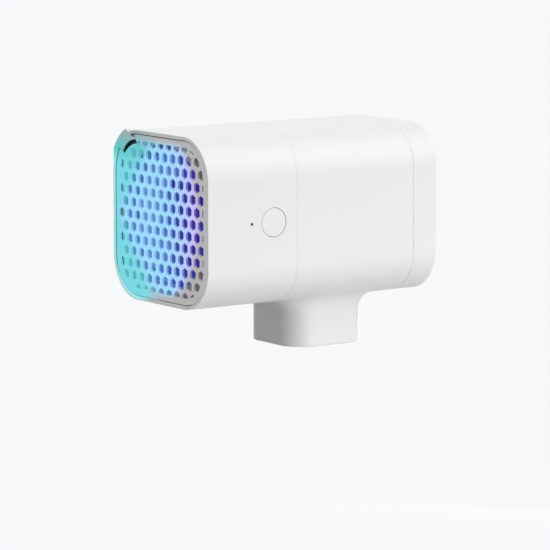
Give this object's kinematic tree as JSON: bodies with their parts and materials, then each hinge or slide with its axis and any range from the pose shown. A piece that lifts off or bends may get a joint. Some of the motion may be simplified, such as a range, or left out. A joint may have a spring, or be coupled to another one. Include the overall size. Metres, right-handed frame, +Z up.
{
  "type": "toothbrush sterilizer",
  "caption": "Wall-docked toothbrush sterilizer: rounded-square body with a neck for the brush head underneath, side button and a honeycomb fan grille at the front.",
  "frame": {"origin": "centre of the dock's wall face, on the axis of the body", "axes": "+Y into the wall, -Y to the grille at the front, +X to the button side, +Z up"},
  "size_m": [0.06, 0.098, 0.0778],
  "materials": {
    "white_shell": "satin moulded white",
    "grey_rim": "satin moulded warm grey",
    "grey_grille": "satin moulded warm grey",
    "grey_mask": "matt moulded grey",
    "milky_duct": "milky diffuser, lit blue-violet",
    "circuit_board": "green solder mask",
    "lamp": "lamp lens, lit violet",
    "signal_lamp": "unlit lamp lens",
    "fan_plastic": "black glass-filled plastic",
    "bronze": "sintered bronze",
    "steel": "bright zinc-plated steel",
    "copper": "varnished copper winding",
    "magnet": "nickel-plated magnet",
    "ferrite": "dark ferrite",
    "mirror_liner": "bright aluminium",
    "quartz": "clear quartz",
    "silicone": "soft grey silicone",
    "clear_pipe": "smoked clear acrylic",
    "black_chip": "black moulded package",
    "cell_wrap": "wrapped pouch cell",
    "foam": "adhesive foam"
  },
  "bodies": {
    "dock": {"wall_dock": "white_shell", "dock_back_plate": "white_shell", "dock_magnets": "magnet", "dock_screws": "steel", "foam_pad": "foam"},
    "housing": {"front_housing": "white_shell", "front_rim": "grey_rim", "light_mask": "grey_mask", "light_duct": "milky_duct", "light_board": "circuit_board", "duct_lamps": "lamp", "fan_frame": "fan_plastic", "fan_bearing": "bronze", "fan_stator": "copper", "fan_screws": "steel", "tact_switch": "black_chip", "switch_board": "circuit_board", "switch_board_screws": "steel", "indicator_lamp": "signal_lamp", "light_pipe": "clear_pipe", "seam_seal": "silicone", "partition": "white_shell", "case_screws": "steel", "middle_housing": "white_shell", "chamber_liner": "mirror_liner", "uv_window": "quartz", "uv_board": "circuit_board", "uv_lamps": "lamp", "mouth_collar": "white_shell", "grip_retainer": "white_shell", "grip_pins": "steel", "battery_cell": "cell_wrap", "battery_pad": "foam", "main_board": "circuit_board", "board_chips": "black_chip", "main_board_screws": "steel", "charging_socket": "steel", "socket_blade": "black_chip", "rear_panel": "white_shell", "panel_screws": "steel", "panel_magnets": "magnet"},
    "button": {"power_button": "white_shell", "switch_plunger": "black_chip"},
    "fan": {"fan_rotor": "fan_plastic", "fan_shaft": "steel", "magnet_ring": "ferrite"},
    "grille": {"grille_plate": "grey_grille"},
    "grip_left": {"grip_arm_left": "white_shell", "grip_pad_left": "silicone", "grip_spring_left": "steel"},
    "grip_right": {"grip_arm_right": "white_shell", "grip_pad_right": "silicone", "grip_spring_right": "steel"}
  },
  "joints": [
    {"name": "dock_release", "type": "slide", "parent": "dock", "child": "housing", "axis": [0, -1, 0], "range_m": [0, 0.03]},
    {"name": "button_press", "type": "slide", "parent": "housing", "child": "button", "axis": [-1, 0, 0], "range_m": [0, 0.0008], "stiffness_N_per_m": 900},
    {"name": "fan_spin", "type": "hinge", "parent": "housing", "child": "fan", "pos_m": [0, -0.085, 0], "axis": [0, 1, 0], "continuous": true},
    {"name": "grille_lift_out", "type": "slide", "parent": "housing", "child": "grille", "axis": [0, -1, 0], "range_m": [0, 0.012]},
    {"name": "grip_left_swing", "type": "hinge", "parent": "housing", "child": "grip_left", "pos_m": [-0.0047, -0.046, -0.043], "axis": [0, 0, 1], "range_deg": [0, 20], "stiffness_Nm_per_rad": 0.02},
    {"name": "grip_right_swing", "type": "hinge", "parent": "housing", "child": "grip_right", "pos_m": [0.0047, -0.046, -0.043], "axis": [0, 0, -1], "range_deg": [0, 20], "stiffness_Nm_per_rad": 0.02}
  ]
}
